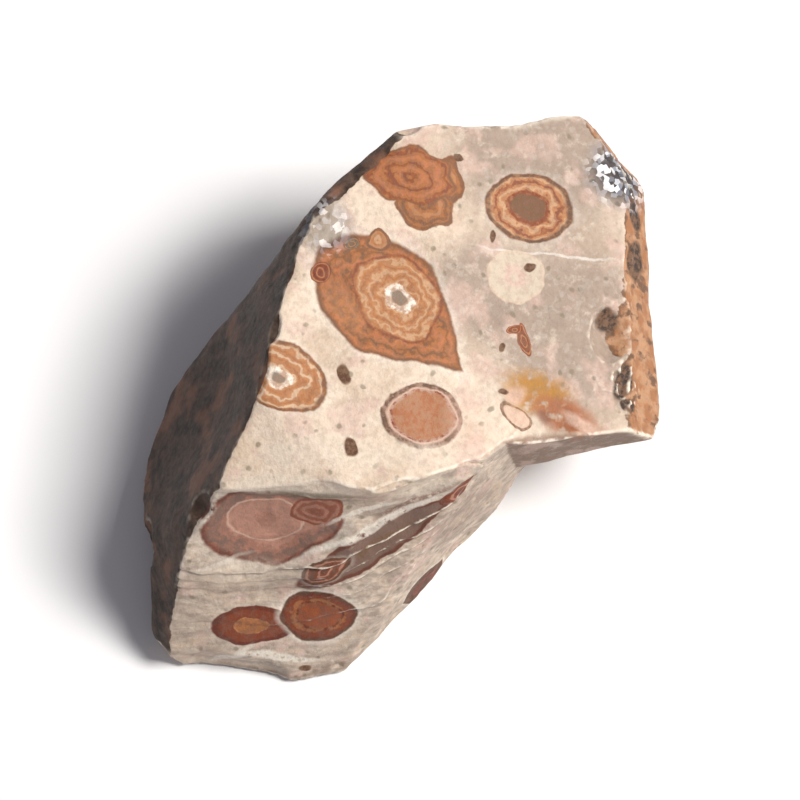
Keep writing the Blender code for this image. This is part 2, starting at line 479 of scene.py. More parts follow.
# Flow of the lava, which pushes every marking about: size of the lumps and reach of each push
FLOW = ((3.6, 0.6), (1.2, 0.17), (0.4, 0.07))
MOTTLE = (0.6, 4.0, 0.65)

# Clouds: size of the lumps, detail and roughness, then the noise values between which they come in
SHADE = ((5.0, 3.0, 0.6), (0.42, 0.62))
STREAKS = ((0.8, 3.0, 0.6), (0.78, 0.32))
STREAK_STRETCH = (0.25, 1.0, 1.0)
BLUSH = ((3.1, 2.0, 0.5), (0.52, 0.64))
BLUSH_SHARE = 0.6
PALE = ((1.5, 4.0, 0.7), (0.53, 0.68))
PALE_SHARE = 0.42

# Grey regions: middle and radius
GREY_REGIONS = (((15.0, 3.5, 18.0), 11.5), ((12.0, 19.5, 19.0), 12.0), ((7.0, 6.5, 20.2), 6.5))
GREY_SHARE = 0.95

# Grains: size of their cells, distance from the seed, and the chances between which they come in
OLIVE_SIZE = 1.0
OLIVE_EDGE = (0.34, 0.14)
OLIVE_CHANCE = (0.62, 0.76)
OLIVE_SHARE = 0.7
CLEAR_SIZE = 0.42
CLEAR_CHANCE = (0.72, 0.95)
CLEAR_SHARE = 0.12

# Hairline vein of quartz: where it lies, where its plane faces, how far it reaches and how wide it is
VEIN_PLACE = (12.8, 10.1, 19.2)
VEIN_FACING = (0.06, 0.99, 0.05)
VEIN_REACH = 8.0
VEIN_EDGE = (0.16, 0.05)
VEIN_SHARE = 0.55


class Wiring:
    """Writes a shader's node tree: each call adds one node and gives back the output that it makes."""

    def __init__(self, tree):
        self.tree = tree

    def add(self, kind, feeds, output=0, **settings):
        """Adds a node with its settings; each feed is a value or an earlier output, by socket."""
        node = self.tree.nodes.new("ShaderNode" + kind)
        for name, value in settings.items():
            setattr(node, name, value)
        for socket, feed in feeds.items():
            if isinstance(feed, bpy.types.NodeSocket):
                self.tree.links.new(feed, node.inputs[socket])
            elif node.inputs[socket].type == "RGBA":
                node.inputs[socket].default_value = (*feed, 1.0)
            else:
                node.inputs[socket].default_value = feed
        return node.outputs[output]

    def sum(self, a, b):
        """One value plus another."""
        return self.add("Math", {0: a, 1: b}, operation="ADD")

    def less(self, a, b):
        """One value less another."""
        return self.add("Math", {0: a, 1: b}, operation="SUBTRACT")

    def product(self, a, b):
        """One value times another."""
        return self.add("Math", {0: a, 1: b}, operation="MULTIPLY")

    def most(self, a, b):
        """The greater of two values."""
        return self.add("Math", {0: a, 1: b}, operation="MAXIMUM")

    def vector(self, operation, a, b, output="Vector"):
        """One place or direction worked on with another."""
        return self.add("VectorMath", {0: a, 1: b}, output, operation=operation)

    def scaled(self, value, start, gain):
        """The start plus the gain times the value."""
        return self.sum(self.product(value, gain), start)

    def pushed(self, value, noise, reach):
        """The value, pushed up or down by a noise about 0.5 times the reach."""
        return self.sum(value, self.product(self.less(noise, 0.5), reach))

    def rise(self, value, low, high):
        """From 0 to 1, as a smooth step, while the value goes from low to high."""
        feeds = {0: value, 1: low, 2: high}
        return self.add("MapRange", feeds, interpolation_type="SMOOTHSTEP", clamp=False)

    def mix(self, share, ground, cover):
        """The cover's share of a colour over the ground."""
        return self.add("Mix", {0: share, 6: ground, 7: cover}, 2, data_type="RGBA")

    def noise(self, place, size, detail=2.0, roughness=0.5, output="Fac"):
        """Cloudy noise about 0.5 with lumps of a size in millimetres."""
        feeds = {"Vector": place, "Scale": 1 / size, "Detail": detail, "Roughness": roughness}
        return self.add("TexNoise", feeds, output)

    def clouds(self, place, noise, limits):
        """Where a noise, given by size, detail and roughness, goes from one limit to the other."""
        return self.rise(self.noise(place, *noise), *limits)

    def shift(self, place, size, reach):
        """The place, pushed about at random by up to the reach, in lumps of that size."""
        push = self.vector("SUBTRACT", self.noise(place, size, 1.0, 0.5, "Color"), (0.5,) * 3)
        push = self.add("VectorMath", {0: push, "Scale": reach * 2}, operation="SCALE")
        return self.vector("ADD", place, push)

    def stretch(self, place, scale):
        """The place times a scale along each axis, which draws a noise out where the scale is small."""
        return self.vector("MULTIPLY", place, scale)

    def near(self, place, middle, radius, heart=0.4):
        """1 from the middle to the heart's share of the radius, falling to nothing at the radius."""
        way = self.vector("DISTANCE", place, middle, "Value")
        return self.rise(way, radius, radius * heart)

    def cells(self, place, size):
        """Cells of that size around seeds: the distance from the seed and a number by chance for each."""
        distance = self.add("TexVoronoi", {"Vector": place, "Scale": 1 / size}, "Distance")
        return distance, self.add("SeparateColor", {0: distance.node.outputs["Color"]}, "Red")

    def mask(self, name):
        """A mask that is kept in the mesh, by its name."""
        return self.add("Attribute", {}, "Fac", attribute_name=name)


rock = bpy.data.materials.new("spotted_rhyolite")
rock.use_nodes = True
draw = Wiring(rock.node_tree)
place = draw.add("TexCoord", {}, "Object")
place = draw.add("VectorMath", {0: place, "Scale": 1 / MILLIMETRE}, operation="SCALE")
swirl = place
for size, reach in FLOW:
    swirl = draw.shift(swirl, size, reach)
mottle = draw.noise(place, *MOTTLE)

colour = draw.mix(draw.clouds(swirl, *SHADE), CREAM, CREAM_SHADE)
for middle, radius in GREY_REGIONS:
    colour = draw.mix(draw.product(draw.near(swirl, middle, radius), GREY_SHARE), colour, EAST_GREY)
streaks = draw.clouds(draw.stretch(swirl, STREAK_STRETCH), *STREAKS)
colour = draw.mix(draw.product(draw.mask("low"), streaks), colour, LOW_GREY)
# Painted shade: the wing's edge and its underside take the darker grey-brown
colour = draw.mix(draw.mask("wing"), colour, WING_GREY_AND_SHADE)
colour = draw.mix(draw.product(draw.clouds(swirl, *BLUSH), BLUSH_SHARE), colour, PINK_CLOUD)
colour = draw.mix(draw.product(draw.clouds(swirl, *PALE), PALE_SHARE), colour, PALE_CLOUD)
from_seed, chance = draw.cells(swirl, OLIVE_SIZE)
olive = draw.product(draw.rise(from_seed, *OLIVE_EDGE), draw.rise(chance, *OLIVE_CHANCE))
colour = draw.mix(draw.product(olive, OLIVE_SHARE), colour, OLIVE_GRAIN)
clear = draw.rise(draw.cells(swirl, CLEAR_SIZE)[1], *CLEAR_CHANCE)
colour = draw.mix(draw.product(clear, CLEAR_SHARE), colour, CLEAR_GRAIN)

across = draw.vector("SUBTRACT", swirl, VEIN_PLACE)
across = draw.vector("DOT_PRODUCT", across, VEIN_FACING, "Value")
vein = draw.rise(draw.add("Math", {0: across}, operation="ABSOLUTE"), *VEIN_EDGE)
vein = draw.product(vein, draw.near(place, VEIN_PLACE, VEIN_REACH))
colour = draw.mix(draw.product(vein, VEIN_SHARE), colour, CLEAR_GRAIN)


# The rosettes
# Round knots that grew outwards in the cooling lava around a seed, ring by ring: iron-stained bands with
# a dark outline, a paler inside and often a quartz core. The break cuts through them at any height.
ORANGE = (0.38, 0.145, 0.050)
RED_ORANGE = (0.47, 0.165, 0.070)
LIGHT_ORANGE = (0.47, 0.215, 0.095)
PEACH = (0.58, 0.355, 0.205)
RING_CREAM = (0.68, 0.49, 0.33)
PINK_ORANGE = (0.37, 0.138, 0.062)
PALE_PINK = (0.66, 0.44, 0.34)
BROWN = (0.19, 0.078, 0.034)
OUTLINE = (0.105, 0.043, 0.021)
CORE_BROWN = (0.17, 0.090, 0.045)
CORE_GREY = (0.25, 0.195, 0.15)
DARK_RED = (0.12, 0.024, 0.012)
RED_BROWN = (0.21, 0.046, 0.016)
HOT_RED = (0.29, 0.075, 0.026)
MAUVE = (0.37, 0.170, 0.117)
PALE_MAUVE = (0.47, 0.240, 0.172)
LENS_GREY = (0.185, 0.110, 0.085)
GHOST = (0.60, 0.50, 0.39)
OCHRE = (0.42, 0.20, 0.040)
WHITE_RING = (0.86, 0.80, 0.70)

# Lean of the foot's slope and heel, which cut the rosettes there
SLOPE_LEAN = 57.0
HEEL_LEAN = 67.0
WANDER = (0.9, 2.0)

# Steps along the radius and the rings' wave between which each part of a rosette comes in, how far the
# noises push it, and its share of the colour: where two numbers are given, without patches and from them
ROSETTE_EDGE = (1.035, 0.97)
RING_UNREST = 0.45
PATCHES = (0.36, 0.62)
BAND_PATCHES = 0.3
LIGHT_WAVE = (-0.35, -0.95)
LIGHT_SHARE = 0.75
LINE_WAVE = (0.45, 0.9)
LINE_SHARE = (0.5, 0.4)
CORE_UNREST = 0.12
CORE_RING_EDGE = (0.03, -0.03)
CORE_RING_PATCHES = (1.0, -0.7)
CORE_EDGE = (0.03, -0.04)
CORE_PATCHES = 0.35
RIM_EDGE = (0.94, 1.02)
RIM_PATCHES = (0.6, 0.4)
HALO_EDGE = (1.22, 1.0)


def radius_group():
    """Node group for how far a place lies from a rosette's middle, from 0 there to 1 at the rim. The way
    is turned level with the face that cuts the rosette, turned in that face and counted in half sizes.
    The radius is the root of x² + y² + z² + 2 point |xy|, the last where x is positive, times 1 plus the
    lobes' wave around the middle."""
    group = bpy.data.node_groups.new("rosette_radius", "ShaderNodeTree")
    for name, kind in (("Place", "Vector"), ("Middle", "Vector"), ("Half Sizes", "Vector"), ("Lean", "Float"),
                       ("Turn", "Float"), ("Point", "Float"), ("Lobes", "Float"), ("Lobe Depth", "Float")):
        group.interface.new_socket(name, in_out="INPUT", socket_type="NodeSocket" + kind)
    group.interface.new_socket("Radius", in_out="OUTPUT", socket_type="NodeSocketFloat")
    given = group.nodes.new("NodeGroupInput").outputs
    draw = Wiring(group)
    way = draw.vector("SUBTRACT", given["Place"], given["Middle"])
    for axis, angle in (("X_AXIS", "Lean"), ("Z_AXIS", "Turn")):
        way = draw.add("VectorRotate", {"Vector": way, "Angle": draw.product(given[angle], -math.pi / 180)},
                       rotation_type=axis)
    way = draw.vector("DIVIDE", way, given["Half Sizes"])
    x = draw.add("SeparateXYZ", {0: way}, "X")
    y = x.node.outputs["Y"]
    square = draw.vector("DOT_PRODUCT", way, way, "Value")
    corner = draw.product(draw.most(x, 0.0), draw.add("Math", {0: y}, operation="ABSOLUTE"))
    square = draw.sum(square, draw.product(draw.product(corner, given["Point"]), 2.0))
    radius = draw.add("Math", {0: square}, operation="SQRT")
    around = draw.product(draw.add("Math", {0: y, 1: x}, operation="ARCTAN2"), given["Lobes"])
    lobes = draw.product(draw.add("Math", {0: around}, operation="SINE"), given["Lobe Depth"])
    made = group.nodes.new("NodeGroupOutput").inputs
    group.links.new(draw.product(radius, draw.sum(lobes, 1.0)), made["Radius"])
    return group


def rings_group():
    """Node group that paints one rosette over the ground, from its radius. Dark lines lie where a sine of
    the radius is high and light ones where it is low. Over them come a ring around the core, the core and
    the rim, and a pale halo outside."""
    group = bpy.data.node_groups.new("rosette_rings", "ShaderNodeTree")
    for name, kind, value in (
        ("Ground", "Color", CREAM), ("Radius", "Float", 1.0), ("Wander", "Float", 0.5),
        ("Mottle", "Float", 0.5), ("Rim", "Color", BROWN), ("Rim Share", "Float", 0.07),
        ("Band", "Color", ORANGE), ("Line", "Color", BROWN), ("Light", "Color", LIGHT_ORANGE),
        ("Rings", "Float", 2.0), ("Core", "Color", CORE_BROWN), ("Core Share", "Float", 0.0),
        ("Core Ring", "Color", PEACH), ("Core Ring Share", "Float", 0.0), ("Halo", "Float", 0.0),
    ):
        socket = group.interface.new_socket(name, in_out="INPUT", socket_type="NodeSocket" + kind)
        socket.default_value = (*value, 1.0) if kind == "Color" else value
    group.interface.new_socket("Colour", in_out="OUTPUT", socket_type="NodeSocketColor")
    given = group.nodes.new("NodeGroupInput").outputs
    draw = Wiring(group)
    radius = given["Radius"]
    inside = draw.rise(radius, *ROSETTE_EDGE)
    rings = draw.product(draw.pushed(radius, given["Wander"], RING_UNREST), given["Rings"])
    wave = draw.add("Math", {0: draw.product(rings, 2 * math.pi)}, operation="SINE")
    patchy = draw.rise(given["Mottle"], *PATCHES)
    paint = draw.mix(draw.product(patchy, BAND_PATCHES), given["Band"], given["Line"])
    paint = draw.mix(draw.product(draw.rise(wave, *LIGHT_WAVE), LIGHT_SHARE), paint, given["Light"])
    line = draw.product(draw.rise(wave, *LINE_WAVE), draw.scaled(patchy, *LINE_SHARE))
    paint = draw.mix(line, paint, given["Line"])
    to_core = draw.less(draw.pushed(radius, given["Mottle"], CORE_UNREST), given["Core Share"])
    core_ring = draw.rise(draw.less(to_core, given["Core Ring Share"]), *CORE_RING_EDGE)
    core_ring = draw.product(core_ring, draw.scaled(patchy, *CORE_RING_PATCHES))
    paint = draw.mix(core_ring, paint, given["Core Ring"])
    core = draw.mix(draw.product(patchy, CORE_PATCHES), given["Core"], given["Line"])
    paint = draw.mix(draw.rise(to_core, *CORE_EDGE), paint, core)
    rim = draw.rise(draw.sum(radius, given["Rim Share"]), *RIM_EDGE)
    paint = draw.mix(draw.product(rim, draw.scaled(patchy, *RIM_PATCHES)), paint, given["Rim"])
    halo = draw.product(draw.rise(radius, *HALO_EDGE), given["Halo"])
    ground = draw.mix(halo, given["Ground"], WHITE_RING)
    made = group.nodes.new("NodeGroupOutput").inputs
    group.links.new(draw.mix(inside, ground, paint), made["Colour"])
    return group


# Each rosette: middle, half sizes and shape, then how it is painted where that isn't the common way
ROSETTES = {
    "ghost ring": ((9.9, 7.9, 19.6), (2.6, 2.5, 3.0), {}, {
        "Rim": CREAM_SHADE, "Rim Share": 0.04, "Band": GHOST, "Line": PINK_CLOUD, "Light": GHOST,
        "Rings": 1.0}),
    "lobed, right": ((4.0, 16.0, 21.5), (1.5, 2.2, 2.5), {"Lobes": 4.0, "Lobe Depth": 0.07}, {
        "Rim Share": 0.12, "Rings": 1.4}),
    "lobed, lower": ((2.2, 13.5, 21.8), (2.4, 2.1, 2.5), {"Turn": -20.0, "Lobes": 5.0, "Lobe Depth": 0.08}, {
        "Rim Share": 0.12, "Rings": 1.8}),
    "lobed, main": ((0.9, 16.3, 22.0), (4.0, 2.6, 4.0), {"Turn": -8.0, "Lobes": 7.0, "Lobe Depth": 0.06}, {
        "Rim Share": 0.05, "Line": RED_BROWN, "Light": RED_ORANGE, "Rings": 2.6}),
    "ringed": ((11.2, 14.15, 19.3), (4.05, 3.0, 4.0), {}, {
        "Rim": OUTLINE, "Rim Share": 0.10, "Band": LIGHT_ORANGE, "Line": RED_BROWN, "Light": PEACH,
        "Rings": 3.1, "Core Share": 0.36, "Core Ring": RED_BROWN, "Core Ring Share": 0.10, "Halo": 0.15}),
    "teardrop": ((-0.6, 4.5, 21.7), (8.3, 5.0, 6.0), {"Turn": -42.0, "Point": 0.75}, {
        "Rim Share": 0.05, "Light": RED_ORANGE, "Rings": 4.2, "Halo": 0.3}),
    "teardrop, rings": ((-0.3, 5.4, 21.75), (4.2, 3.5, 5.0), {
        "Turn": -48.0, "Lobes": 5.0, "Lobe Depth": 0.05,
    }, {
        "Rim": RED_BROWN, "Rim Share": 0.04, "Band": LIGHT_ORANGE, "Line": ORANGE, "Light": PEACH,
        "Rings": 4.4, "Core": CORE_GREY, "Core Share": 0.2, "Core Ring": WHITE_RING,
        "Core Ring Share": 0.14}),
    "cut off": ((-10.2, -1.9, 22.9), (4.3, 2.9, 5.0), {"Turn": -25.0}, {
        "Rim Share": 0.09, "Band": LIGHT_ORANGE, "Line": ORANGE, "Light": RING_CREAM, "Rings": 3.2,
        "Core": CORE_GREY, "Core Share": 0.15, "Core Ring": WHITE_RING, "Core Ring Share": 0.12,
        "Halo": 0.2}),
    "solid": ((1.9, -5.05, 21.6), (3.5, 2.95, 4.0), {}, {
        "Rim": OUTLINE, "Rim Share": 0.12, "Band": PALE_PINK, "Line": PEACH, "Light": PALE_PINK, "Rings": 1.0,
        "Core": PINK_ORANGE, "Core Share": 0.73, "Core Ring": RED_BROWN, "Core Ring Share": 0.07,
        "Halo": 0.15}),
    "comma": ((10.8, 2.4, 19.5), (0.55, 1.5, 1.0), {"Turn": 18.0}, {"Rim": RED_BROWN, "Band": RED_BROWN}),
    "comma's head": ((9.8, 3.3, 19.8), (0.7, 0.4, 1.0), {"Turn": 15.0}, {
        "Rim": RED_BROWN, "Band": RED_BROWN}),
    "ring at the slab edge": ((10.0, -4.7, 19.6), (2.0, 0.95, 1.2), {"Turn": -35.0}, {
        "Rim": CORE_BROWN, "Rim Share": 0.2, "Band": PALE_PINK, "Line": CREAM_SHADE, "Light": PALE_PINK}),
    "mauve lens": ((-10.8, -12.9, 15.9), (6.5, 4.9, 3.0), {"Lean": SLOPE_LEAN, "Turn": 6.0, "Point": 0.5}, {
        "Rim": DARK_RED, "Rim Share": 0.06, "Band": MAUVE, "Line": LENS_GREY, "Light": PALE_MAUVE,
        "Rings": 1.5, "Halo": 0.2}),
    "mauve island": ((-11.7, -12.7, 16.3), (3.5, 2.8, 2.2), {"Lean": SLOPE_LEAN}, {
        "Rim": PALE_PINK, "Rim Share": 0.03, "Band": PALE_MAUVE, "Line": MAUVE, "Light": PALE_MAUVE,
        "Rings": 1.2}),
    "brown lobe": ((-7.0, -12.3, 17.4), (2.4, 1.7, 2.0), {"Lean": SLOPE_LEAN, "Turn": 10.0}, {
        "Rim": RED_BROWN, "Rim Share": 0.12, "Band": MAUVE, "Line": RED_BROWN, "Light": RED_BROWN,
        "Rings": 1.3}),
    "grey lens": ((-2.0, -14.2, 13.8), (8.8, 2.1, 3.0), {"Lean": SLOPE_LEAN, "Turn": 36.0, "Point": 0.6}, {
        "Rim": DARK_RED, "Rim Share": 0.12, "Band": LENS_GREY, "Line": CORE_BROWN, "Light": LENS_GREY,
        "Rings": 1.2}),
    "lens corner": ((-6.4, -16.4, 11.9), (2.7, 1.4, 1.6), {"Lean": SLOPE_LEAN, "Turn": 30.0}, {
        "Rim": OUTLINE, "Rim Share": 0.15, "Band": RED_BROWN, "Line": OUTLINE, "Light": PALE_MAUVE,
        "Rings": 2.2, "Halo": 0.2}),
    "lens, red end": ((4.9, -10.7, 17.6), (2.3, 0.8, 1.5), {"Lean": SLOPE_LEAN, "Turn": 38.0}, {
        "Rim": DARK_RED, "Band": RED_BROWN, "Line": DARK_RED, "Light": PALE_MAUVE, "Rings": 1.6}),
    "red lens, west": ((-12.9, -19.8, 6.2), (3.7, 2.2, 2.0), {"Lean": HEEL_LEAN}, {
        "Rim": DARK_RED, "Rim Share": 0.16, "Band": RED_BROWN, "Line": DARK_RED, "Light": RED_BROWN,
        "Rings": 1.3, "Core": ORANGE, "Core Share": 0.42, "Halo": 0.1}),
    "red lens, east": ((-7.0, -19.2, 7.0), (3.3, 3.0, 2.6), {"Lean": HEEL_LEAN, "Turn": 20.0}, {
        "Rim": OUTLINE, "Rim Share": 0.08, "Band": RED_BROWN, "Line": DARK_RED, "Light": ORANGE, "Rings": 1.3,
        "Core": HOT_RED, "Core Share": 0.52, "Core Ring": DARK_RED, "Core Ring Share": 0.08, "Halo": 0.5}),
    "red spot on the limb": ((2.3, -15.3, 3.2), (2.7, 2.5, 2.7), {}, {
        "Rim": OUTLINE, "Rim Share": 0.12, "Band": DARK_RED, "Line": OUTLINE, "Light": RED_BROWN,
        "Rings": 1.6, "Halo": 0.5}),
    "north side, large": ((7.0, 18.6, 11.6), (3.6, 3.6, 2.9), {
        "Turn": 15.0, "Lobes": 4.0, "Lobe Depth": 0.04,
    }, {
        "Rim": OUTLINE, "Line": RED_BROWN, "Light": PEACH, "Rings": 2.7, "Core Share": 0.25,
        "Core Ring": RING_CREAM, "Core Ring Share": 0.09, "Halo": 0.15}),
    "north side, small": ((13.4, 17.6, 7.4), (2.4, 2.8, 1.9), {"Turn": -10.0}, {
        "Rim": OUTLINE, "Band": LIGHT_ORANGE, "Line": ORANGE, "Rings": 1.6, "Halo": 0.15}),
    "first satellite": ((-1.8, 10.6, 22.0), (1.15, 1.05, 1.0), {"Lobes": 3.0, "Lobe Depth": 0.1}, {
        "Rim Share": 0.2, "Line": PEACH, "Rings": 1.0}),
    "second satellite": ((-4.2, 10.3, 22.3), (0.7, 0.55, 0.8), {"Turn": 30.0}, {
        "Rim": OUTLINE, "Band": CORE_BROWN, "Line": OLIVE_GRAIN}),
    "third satellite": ((-6.9, 7.3, 22.6), (0.8, 1.1, 0.9), {"Turn": -20.0}, {
        "Rim": DARK_RED, "Band": RED_BROWN, "Line": DARK_RED}),
}

# Small dark spots: middle, half sizes and turn
DARK_SPOTS = (
    ((-4.6, -1.6, 22.4), (0.55, 0.95, 0.8), 12.0),
    ((-4.4, -8.0, 22.2), (0.65, 0.75, 0.8), 0.0),
    ((5.2, 18.1, 21.1), (0.60, 0.40, 0.6), -10.0),
    ((7.8, 11.4, 20.3), (0.35, 0.60, 0.5), 0.0),
    ((11.1, 8.9, 19.3), (0.50, 0.45, 0.5), 30.0),
    ((8.8, 1.5, 20.0), (0.30, 0.45, 0.5), -20.0),
    ((8.6, -2.6, 19.9), (0.70, 0.35, 0.5), 20.0),
    ((-1.1, -17.2, 4.2), (0.50, 0.50, 0.9), 0.0),
    ((0.7, -16.5, 2.6), (0.60, 0.60, 0.9), 0.0),
    ((-8.3, -22.2, 1.6), (0.70, 0.60, 0.5), 0.0),
)

# Smears of colour without a clear outline, some of them painted shade under the slab edge, on the south-east
# # flank and along the bottom front: middle, half sizes, turn, colour and share
SMEARS = (
    ((-5.7, 6.9, 22.5), (2.4, 1.6, 3.0), -50.0, RED_BROWN, 0.30),
    ((-4.9, 4.6, 22.3), (3.4, 1.3, 3.0), -55.0, LIGHT_ORANGE, 0.35),
    ((11.7, -2.3, 19.1), (3.8, 2.3, 2.5), -10.0, OCHRE, 1.0),
    ((10.0, -2.6, 19.7), (1.3, 1.0, 1.5), 20.0, PALE_PINK, 0.8),
    ((14.4, -4.3, 18.5), (4.2, 1.7, 2.2), -22.0, PINK_ORANGE, 1.0),
    ((15.6, -4.7, 18.1), (2.0, 0.6, 1.5), -20.0, PALE_PINK, 0.9),
    ((12.6, -4.6, 19.0), (1.0, 0.7, 1.2), -30.0, DARK_RED, 0.5),
    ((5.7, -5.6, 21.0), (2.2, 3.4, 3.0), 0.0, PALE_PINK, 0.35),
    ((-7.4, -8.4, 22.0), (5.5, 1.7, 3.0), 5.0, PALE_CLOUD, 0.7),
    ((0.5, -8.6, 21.0), (6.0, 1.3, 3.0), 4.0, PALE_CLOUD, 0.6),
    ((19.3, 3.9, 17.2), (1.5, 1.2, 2.0), 0.0, RED_BROWN, 0.7),
    ((-9.0, -11.0, 20.8), (8.5, 1.4, 1.5), 1.0, PALE_CLOUD, 0.9),
    ((1.9, -10.7, 19.6), (3.8, 1.3, 1.6), 5.0, PALE_CLOUD, 0.7),
    ((-13.2, -16.5, 11.5), (5.5, 1.8, 1.5), 2.0, PALE_CLOUD, 0.45),
    # Painted shade: darker grey along the shaded side of the south-east flank
    ((5.2, -11.3, 12.5), (4.5, 1.6, 6.0), 45.0, LENS_GREY, 0.35),
    # Painted shadow: a dark olive line just under the west edge of the slab
    ((-8.6, -11.9, 19.7), (7.0, 0.7, 0.9), 1.0, OLIVE_GRAIN, 0.8),
    # Painted contact shadow: dark bands along the bottom front edge, next to the floor
    ((-11.5, -23.0, 0.2), (8.0, 1.8, 1.1), -5.0, OUTLINE, 0.85),
    ((-5.6, -22.2, 0.9), (2.6, 1.6, 1.6), 10.0, OUTLINE, 0.45),
)

# Lines along the ledges of the foot, bruised white, and one dark red line: middle, half sizes, turn in the
# # slope, colour and share
LEDGE_LINES = (
    ((1.4, -11.8, 17.7), (4.2, 0.65, 2.0), 26.0, DARK_RED, 0.6),
    ((-2.0, -13.0, 15.7), (7.8, 0.42, 2.5), 28.5, WHITE_RING, 0.75),
    ((-3.2, -12.45, 17.3), (4.0, 0.30, 2.0), 22.0, WHITE_RING, 0.6),
    ((-15.6, -14.6, 11.6), (3.4, 0.30, 2.5), 20.0, WHITE_RING, 0.4),
    ((-14.8, -21.5, 2.6), (2.6, 0.50, 2.5), 45.0, WHITE_RING, 0.8),
    ((-10.6, -21.5, 2.9), (3.8, 0.45, 2.5), -9.0, WHITE_RING, 0.8),
)

# Rosettes deep in the rock, which only the hidden sides cut, one around each seed: gap between the seeds,
# least and most radius in gaps, and the faces behind which they start, with the depth in millimetres. The
# covered radius is far outside any rim, so it hides a rosette
SEED_GAP = 8.5
SEED_SIZES = (0.16, 0.46)
SEED_FACES = (("spotted face, east", 5.0), ("foot slope", 4.5))
SEED_FADE = 1.0
SEED_LOOK = {"Rings": 2.3, "Core Share": 0.2}
COVERED = 9.0

# Steps between which each kind of patch comes in along its radius and with the noise that it has
SMEAR_EDGE = (1.15, 0.45)
SMEAR_PATCHES = (0.26, 0.50)
SPOT_EDGE = (1.1, 0.8)
SPOT_PATCHES = (0.4, 0.6)
LINE_EDGE = (1.2, 0.6)
LINE_PATCHES = (0.32, 0.5)

radius_nodes = radius_group()
rings_nodes = rings_group()
wander = draw.noise(place, *WANDER)
shared = {"Wander": wander, "Mottle": mottle}

seeds, chance = draw.cells(swirl, SEED_GAP)
size = draw.add("MapRange", {0: chance, 3: SEED_SIZES[0], 4: SEED_SIZES[1]})
radius = draw.add("Math", {0: seeds, 1: size}, operation="DIVIDE")
for face, depth in SEED_FACES:
    azimuth, rise, distance = FOOT[face]
    way = draw.add("VectorMath", {0: seeds.node.outputs["Position"], "Scale": SEED_GAP}, operation="SCALE")
    way = draw.vector("SUBTRACT", way, tuple(-shift))
    out = draw.vector("DOT_PRODUCT", way, tuple(heading(azimuth, rise)), "Value")
    near_face = draw.rise(out, distance - depth, distance - depth + SEED_FADE)
    radius = draw.sum(radius, draw.product(near_face, COVERED))
radius = draw.sum(radius, draw.product(draw.mask("low"), COVERED))
look = {"Band": draw.mix(chance, ORANGE, PEACH), "Line": draw.mix(chance, RED_ORANGE, BROWN)}
look = shared | SEED_LOOK | look | {"Ground": colour, "Radius": radius}
colour = draw.add("Group", look, node_tree=rings_nodes)

for middle, half_sizes, form, look in ROSETTES.values():
    form = {"Place": swirl, "Middle": middle, "Half Sizes": half_sizes} | form
    radius = draw.add("Group", form, node_tree=radius_nodes)
    look = shared | {"Ground": colour, "Radius": radius} | look
    colour = draw.add("Group", look, node_tree=rings_nodes)


def patch(middle, half_sizes, turn, lean, edge):
    """1 inside a plain patch, given by middle, half sizes, turn and lean, and nothing outside its edge."""
    form = {"Place": swirl, "Middle": middle, "Half Sizes": half_sizes, "Turn": turn, "Lean": lean}
    return draw.rise(draw.add("Group", form, node_tree=radius_nodes), *edge)


for middle, half_sizes, turn, tint, share in SMEARS:
    cover = patch(middle, half_sizes, turn, 0.0, SMEAR_EDGE)
    cover = draw.product(cover, draw.rise(wander, *SMEAR_PATCHES))
    colour = draw.mix(draw.product(cover, share), colour, tint)
for middle, half_sizes, turn in DARK_SPOTS:
    dark = draw.mix(draw.rise(mottle, *SPOT_PATCHES), OUTLINE, CORE_BROWN)
    colour = draw.mix(patch(middle, half_sizes, turn, 0.0, SPOT_EDGE), colour, dark)
for middle, half_sizes, turn, tint, share in LEDGE_LINES:
    cover = patch(middle, half_sizes, turn, SLOPE_LEAN, LINE_EDGE)
    cover = draw.product(cover, draw.rise(mottle, *LINE_PATCHES))
    colour = draw.mix(draw.product(cover, share), colour, tint)


# Quartz, stain, rind and painted shade
# # Where coarse quartz broke out the rock glitters white and grey. Iron water has stained the east rim ochre,
# # the old west side has a brown weathered rind, painted darker still as shade, the creases are painted
# # darker as shade, and every fresh crest is bruised white.
CRYSTAL_DARK = (0.045, 0.042, 0.045)
CRYSTAL_GREY = (0.26, 0.28, 0.33)
CRYSTAL_WHITE = (0.80, 0.80, 0.82)
VUG_DARK = (0.045, 0.028, 0.02)

# Share of quartz in its patches, and the vugs of the rim: middle, half sizes and turn
QUARTZ = {"quartz at the north-east": 1.0, "quartz at the north-west": 0.5}
VUGS = (
    ((20.5, 10.4, 15.6), (0.85, 2.0, 2.0), 0.0),
    ((18.2, 4.4, 17.5), (1.1, 1.3, 1.4), 25.0),
    ((19.4, -0.9, 17.0), (0.80, 1.9, 1.6), -12.0),
    ((19.9, -3.0, 16.9), (0.75, 0.70, 1.2), 0.0),
    ((20.3, 14.4, 15.6), (0.60, 1.3, 1.5), 10.0),
)

# Colours of the brown weathered rind, painted darker than the rind itself as shade on the west side
RIND_AND_SHADE_BROWN = (0.080, 0.046, 0.032)
RIND_AND_SHADE_DARK = (0.030, 0.019, 0.014)
RIND_AND_SHADE_WARM = (0.18, 0.082, 0.050)
RIM_OCHRE = (0.34, 0.145, 0.06)
RIM_LIGHT = (0.46, 0.25, 0.135)
RIM_DARK = (0.15, 0.075, 0.04)
# Brown of dust in patches, also used as painted shade in the creases
DUST_AND_SHADE_BROWN = (0.22, 0.15, 0.11)
BRUISE = (0.84, 0.74, 0.62)

